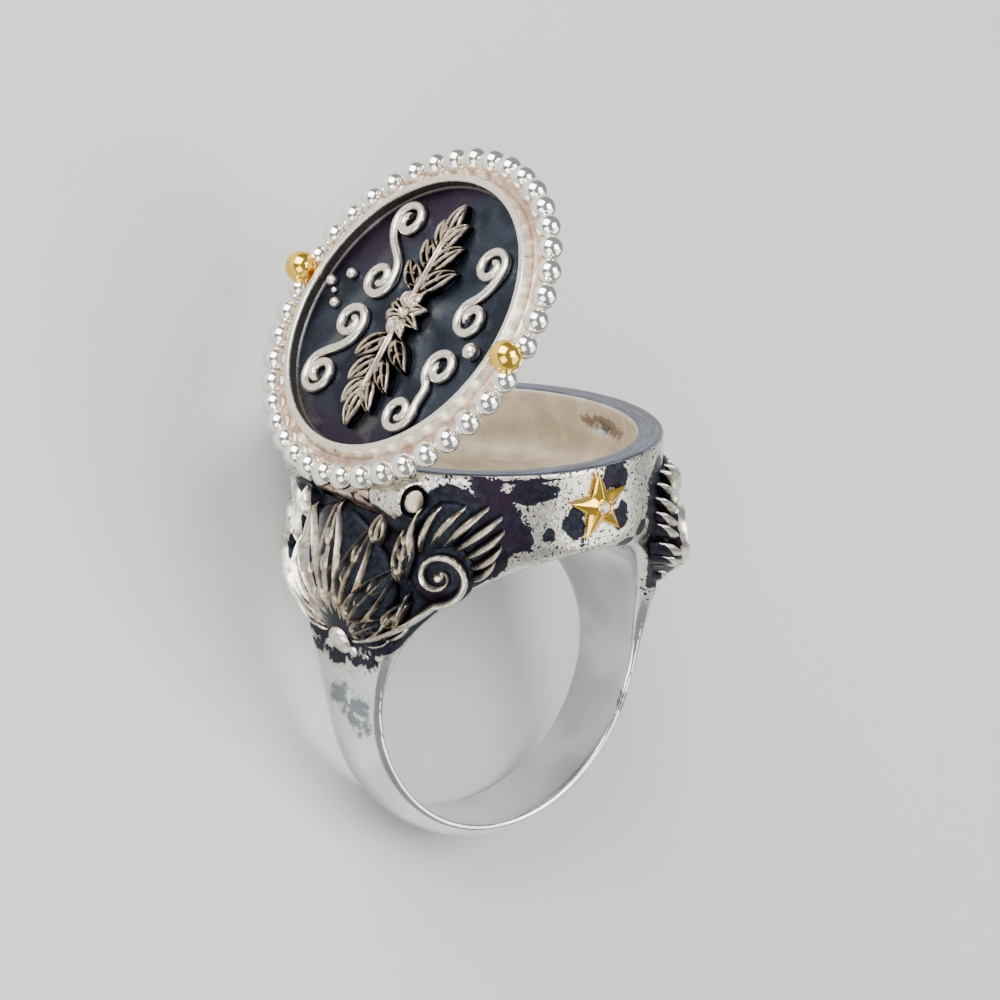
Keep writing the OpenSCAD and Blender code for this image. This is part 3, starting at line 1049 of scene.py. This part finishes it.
def makeLid():
    plate = lidPlate()
    x, z = ring["hingeX"], ring["hingeZ"]
    length, r = hinge["knuckleLength"] / 2, hinge["knuckleR"]
    knuckle = spun("knuckle", [(hinge["pinR"] + 0.04, -length), (r - 0.12, -length),
                               *arcPoints((r - 0.12, -length + 0.12), 0.12, -90, 0, 3),
                               *arcPoints((r - 0.12, length - 0.12), 0.12, 0, 90, 3),
                               (hinge["pinR"] + 0.04, length), (hinge["pinR"] + 0.04, -length)], 64)
    onHinge(knuckle)
    neck = block((x - 0.65, -length, z + 0.9), (x + 0.65, length, lid["underZ"] + 0.2))
    piece = joined([plate, knuckle, neck], "lid plate")
    spots = placesOf(piece)
    radius = np.hypot(spots[:, 0], spots[:, 1])
    height = spots[:, 2]
    top = rampUp(lid["fieldZ"] - 0.05, lid["fieldZ"] - 0.02, height)
    inner = lid["bezelR"] - lid["bezelT"]
    field = (1 - rampUp(inner - 0.02, inner + 0.06, radius)) * top
    field = field * (1 - rampUp(lid["bezelZ"] - 0.22, lid["bezelZ"] - 0.1, height))
    bezelR = lid["bezelR"]
    crevice = rampUp(bezelR - 0.1, bezelR + 0.05, radius)
    crevice = crevice * (1 - 0.6 * rampUp(bezelR + 0.4, bezelR + 0.9, radius))
    crevice = crevice * top * (1 - rampUp(lid["fieldZ"] + 0.15, lid["fieldZ"] + 0.5, height))
    # Purple tarnish at the field's upper right and lower left in the picture
    plum = rampUp(3.5, 8, spots[:, 0] * 0.75 + spots[:, 1] * 0.65) + rampUp(4, 8.5, -spots[:, 0] * 0.9)
    keepAmount(piece, "field", field)
    keepAmount(piece, "crevice", crevice)
    keepAmount(piece, "worn", 1 - rampUp(lid["underZ"] - 0.3, lid["underZ"] - 0.05, height))
    keepAmount(piece, "plum", plum)
    finished(piece, "lid_plate", lidPlace, "lid", silverLid, 35)
    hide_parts("lid")


def makeBeads():
    beads = []
    half = lid["beadCount"] // 2
    step = (180 - 2 * lid["beadGap"]) / (half - 1)
    for run in (0, 1):
        for i in range(half):
            a = radians(180 * run - 90 - lid["ballTurn"] + lid["beadGap"] + step * i)
            place = (lid["beadRingR"] * cos(a), lid["beadRingR"] * sin(a), lid["beadZ"])
            beads.append(ball(place, lid["beadR"] + 0.05, 28, 18))
    finished(joined(beads, "beads"), "bead_border", lidPlace, "lid", brightBeads)


# Scroll wires: middle of each curl, the angle at which the stem leaves it, and which way the first curl turns
scrolls = {
    "thickness": 0.62,
    "outerR": 1.26,
    "innerR": 0.3,
    "turns": 1.3,
    "shapes": (
        ((5.86, 4.44), 126, (1.72, 4.27), -71, 1),
        ((-1.52, 4.69), -117, (-5.25, 4.96), 86, -1),
        ((4.56, -4.79), -113, (1.04, -5.48), 30, -1),
        ((-2.51, -5.26), 150, (-5.95, -3.73), -66, 1),
    ),
}


def scrollPoints(near, leave, far, arrive, sense):
    height = lid["fieldZ"] + 0.2
    steps = 40
    points, radii = [], []

    def curl(middle, angle, way):
        found = []
        for i in range(steps + 1):
            s = i / steps
            a = radians(angle - way * 360 * scrolls["turns"] * (1 - s))
            r = mix(scrolls["innerR"], scrolls["outerR"], s ** 0.8)
            found.append(Vector((middle[0] + r * cos(a), middle[1] + r * sin(a))))
        return found

    first = curl(near, leave, sense)
    last = curl(far, arrive, sense)[::-1]
    start, end = first[-1], last[0]
    reach = (end - start).length * 0.4
    goOut = (first[-1] - first[-2]).normalized() * reach
    goIn = (last[1] - last[0]).normalized() * reach
    handles = (start, start + goOut, end - goIn, end)
    stem = []
    for i in range(1, 16):
        s = i / 16
        weights = ((1 - s) ** 3, 3 * s * (1 - s) ** 2, 3 * s * s * (1 - s), s ** 3)
        stem.append(sum((w * p for w, p in zip(weights, handles)), Vector((0, 0))))
    flat = first + stem + last
    for i, p in enumerate(flat):
        s = i / (len(flat) - 1)
        points.append((p.x, p.y, height))
        radii.append(0.72 + 0.28 * min(1, 8 * min(s, 1 - s)))
    return points, radii


def deepEdges(piece, low, high):
    # Dark at the foot, where the piece meets the field
    height = placesOf(piece)[:, 2]
    keepAmount(piece, "deep", 1 - rampUp(low, high, height))


def makeScrolls():
    wires = []
    for shape in scrolls["shapes"]:
        points, radii = scrollPoints(*shape)
        wires.append(wire("scroll", points, scrolls["thickness"], radii))
    piece = joined(wires, "scroll wires")
    deepEdges(piece, lid["fieldZ"] - 0.02, lid["fieldZ"] + 0.12)
    finished(piece, "scroll_wires", lidPlace, "lid", silverWire, 60)


# Granules on the lid: place and radius
granules = (
    (1.46, 6.98, 0.38),
    (0.62, 8.45, 0.38),
    (0.1, 7.85, 0.22),
    (-0.67, 7.08, 0.36),
    (-0.92, -7.13, 0.56),
)


def makeGranules():
    piece = joined([ball((x, y, lid["fieldZ"] + r * 0.55), r) for x, y, r in granules], "granules")
    deepEdges(piece, lid["fieldZ"] - 0.02, lid["fieldZ"] + 0.1)
    finished(piece, "granules", lidPlace, "lid", silverWire)


# Leaf spray in the middle of the lid: leaves both ways from a small flower
spray = {
    "crest": 0.85,
    "low": 0.42,
    "first": 1.5,
    "step": 1.5,
    "pairs": 3,
    "leafLength": 3.2,
    "petals": 8,
    "petalLength": 1.35,
    "veins": 2,
    "line": 0.19,
}


def sprayLeaf(foot, turn, length, width):
    return leaf(foot, turn, length, width, spray["low"], spray["crest"], spray["veins"], spray["line"])


def makeSpray():
    pieces = []
    for way in (-90, 90):
        for i in range(spray["pairs"]):
            share = i / (spray["pairs"] - 1)
            x = spray["first"] + spray["step"] * i
            length = spray["leafLength"] * mix(1.0, 0.78, share)
            for flank in (-1, 1):
                turn = way + flank * mix(50, 30, share)
                foot = (x * sin(radians(way)), 0.1 * flank)
                pieces += sprayLeaf(foot, turn, length, mix(1.4, 1.15, share))
        tip = spray["first"] + spray["step"] * spray["pairs"] - 0.9
        pieces += sprayLeaf((tip * sin(radians(way)), 0), way, 2.8, 1.3)
        twig = [(x * sin(radians(way)), 0.1 * sin(x * 1.4)) for x in np.linspace(0.7, tip + 0.4, 16)]
        pieces.append(ridge(twig, 0.46, spray["crest"] + 0.08, 24, 0.3))
    for i in range(spray["petals"]):
        turn = 360 * i / spray["petals"] + 22.5
        foot = (0.3 * sin(radians(turn)), 0.3 * cos(radians(turn)))
        pieces += leaf(foot, turn, spray["petalLength"], 0.8, 0.6, 0.95, 0, 0.26)
    piece = joined([*pieces, drop(0, 0, 0.45, 1.15)], "leaf spray")
    shifted(piece, Matrix.Translation((0, 0, lid["fieldZ"])))
    worn = np.empty(len(piece.data.vertices), np.float32)
    piece.data.attributes["relief"].data.foreach_get("value", worn)
    keepAmount(piece, "deep", 1 - worn)
    finished(piece, "leaf_spray", lidPlace, "lid", silverWire, 70)


def makeGoldBalls():
    z = lid["fieldZ"] + lid["ballR"]
    for name, node, side in (("gold_ball_1", "gold_ball_front", -1), ("gold_ball_2", "gold_ball_back", 1)):
        place = turned(-lid["ballTurn"], "Z") @ Vector((0, side * (lid["beadRingR"] - 0.1), z))
        bead = ball(place, lid["ballR"], 40, 28)
        collar = ((0, 0.01), (0.46, 0.01), (0.43, 0.1), (0.40, 0.16), (0, 0.16))
        seat = spun("solder", [(r, lid["fieldZ"] + rise) for r, rise in collar], 32)
        shifted(seat, Matrix.Translation((place.x, place.y, 0)))
        piece = joined([bead, seat], name)
        finished(piece, name, lidPlace, "lid", polishedGold, 50)
        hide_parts(node)


makeLid()
makeBeads()
makeScrolls()
makeGranules()
makeSpray()
makeGoldBalls()
print("Lid made")


# Gold star on the front of the box, with its stone
star = {
    "radius": 2.32,
    "waist": 0.43,
    "turn": 7,
    "middleZ": 13.15,
    "middleH": 0.78,
    "edgeH": 0.30,
    "thickness": 0.28,
    "soften": 0.05,
    "grains": 4,
    "grainR": 0.1,
    "grainPlace": (0.47, 0.76),
}

gem = {
    "radius": 0.43,
    "height": 0.66,
    "sides": 8,
    "girdle": 0.04,
    # Direction, rise and share of the width that is left: the crown and the pavilion
    "cuts": ((1, 0.17, 0.55), (-1, 0.34, 0.18)),
}


# The star's middle, with its own Z out of the wall
starPlace = Matrix.Translation((0, -box["outerR"], star["middleZ"])) @ turned(90, "X")


def makeStar():
    bpy.ops.mesh.primitive_circle_add(vertices=10, radius=star["radius"], fill_type="TRIFAN")
    piece = named("star")
    places = placesOf(piece)
    radius = np.hypot(places[:, 0], places[:, 1])
    angle = np.round(np.degrees(np.arctan2(places[:, 1], places[:, 0])) - 90) % 72
    rim = radius > 0.01
    waist = rim & (angle > 18) & (angle < 54)
    places[waist, :2] *= star["waist"]
    places[:, 2] = np.where(rim, star["edgeH"], star["middleH"])
    moveTo(piece, places)
    pick(piece)
    selectAll()
    bpy.ops.mesh.subdivide(number_cuts=3)
    enter("OBJECT")
    shifted(piece, turned(star["turn"], "Z"))
    applied(piece, "SOLIDIFY", thickness=star["thickness"], offset=-1)
    places = placesOf(piece)
    # No point of the back sinks below a small height, and the whole star follows the curve of the wall
    sink = box["outerR"] - np.sqrt(box["outerR"] ** 2 - places[:, 0] ** 2)
    places[:, 2] = np.maximum(places[:, 2], 0.04) - sink
    moveTo(piece, places)
    applied(piece, "BEVEL", width=star["soften"], segments=2, limit_method="ANGLE", angle_limit=radians(20))
    collet = spun("collet", [(0.2, 0.45), (0.58, 0.5), (0.56, 0.72), (0.5, 0.78), (0.44, 0.72), (0.4, 0.55),
                             (0.2, 0.5), (0.2, 0.45)], 32)
    away, height = star["grainPlace"]
    grains = []
    for i in range(star["grains"]):
        a = radians(45 + 360 * i / star["grains"])
        grains.append(ball((away * cos(a), away * sin(a), height), star["grainR"], 12, 8))
    piece = shifted(joined([piece, collet, *grains], "gold star"), starPlace)
    finished(piece, "gold_star", ringPlace, "ring", polishedGold, 30)
    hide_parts("star")


def makeStone():
    # A girdle whose top face is drawn out into the crown and the table, and its lower one into the pavilion
    height = gem["height"]
    bpy.ops.mesh.primitive_cylinder_add(
        vertices=gem["sides"], radius=gem["radius"], depth=gem["girdle"], location=(0, 0, height))
    stone = named("stone")
    settle()
    for direction, rise, share in gem["cuts"]:
        enter("EDIT")
        bpy.ops.mesh.select_mode(type="FACE")
        selectAll("DESELECT")
        enter("OBJECT")
        for face in stone.data.polygons:
            face.select = face.normal.z * direction > 0.9
        enter("EDIT")
        bpy.ops.mesh.extrude_region_move(TRANSFORM_OT_translate={"value": (0, 0, rise * direction)})
        bpy.ops.transform.resize(value=(share, share, 1), center_override=(0, 0, height))
        enter("OBJECT")
    shifted(stone, starPlace)
    finished(stone, "clear_brilliant", ringPlace, "ring", clearStone, 5)
    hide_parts("star_stone")


makeStar()
makeStone()
print("Star made")


# Floor, light and surroundings
studio = {
    "floorSize": 3,
    "skyStrength": 0.40,
    "lights": (
        # right, up, back (mm along the picture's axes), size, watts
        (-80, 230, 230, 280, 2.7),
        (240, 60, 170, 190, 1.0),
        (300, -100, 60, 260, 0.6),
        (-60, -120, 280, 220, 0.6),
    ),
}


def floorMaterial():
    material, shader = newMaterial("pale floor")
    fine = noise(newNode("ShaderNodeTexCoord").outputs["Object"], 900, 2)
    shade = tuple(0.96 * part for part in tones["floor"])
    coat(shader, blended(fine, tones["floor"], shade), 0.7)
    return material


def makeStudio():
    lowest = cadBox[0][2]
    bpy.ops.mesh.primitive_plane_add(size=studio["floorSize"], location=(0, 0, lowest))
    floor = named("floor")
    settle()
    floor.data.materials.append(floorMaterial())
    aim = inPicture(0, 0, 0)
    for index, (right, up, back, size, watts) in enumerate(studio["lights"]):
        light = bpy.data.lights.new("light " + str(index), "AREA")
        light.shape = "SQUARE"
        light.size = size * ring["millimetre"]
        light.energy = watts
        lamp = added(light.name, light)
        place = inPicture(right, up, back)
        lamp.location = place
        lamp.rotation_euler = (aim - place).to_track_quat("-Z", "Y").to_euler()
    world = bpy.data.worlds.new("studio")
    world.use_nodes = True
    sky = world.node_tree.nodes["Background"]
    sky.inputs["Color"].default_value = (*tones["sky"], 1)
    sky.inputs["Strength"].default_value = studio["skyStrength"]
    bpy.context.scene.world = world


makeStudio()
print("Studio made")
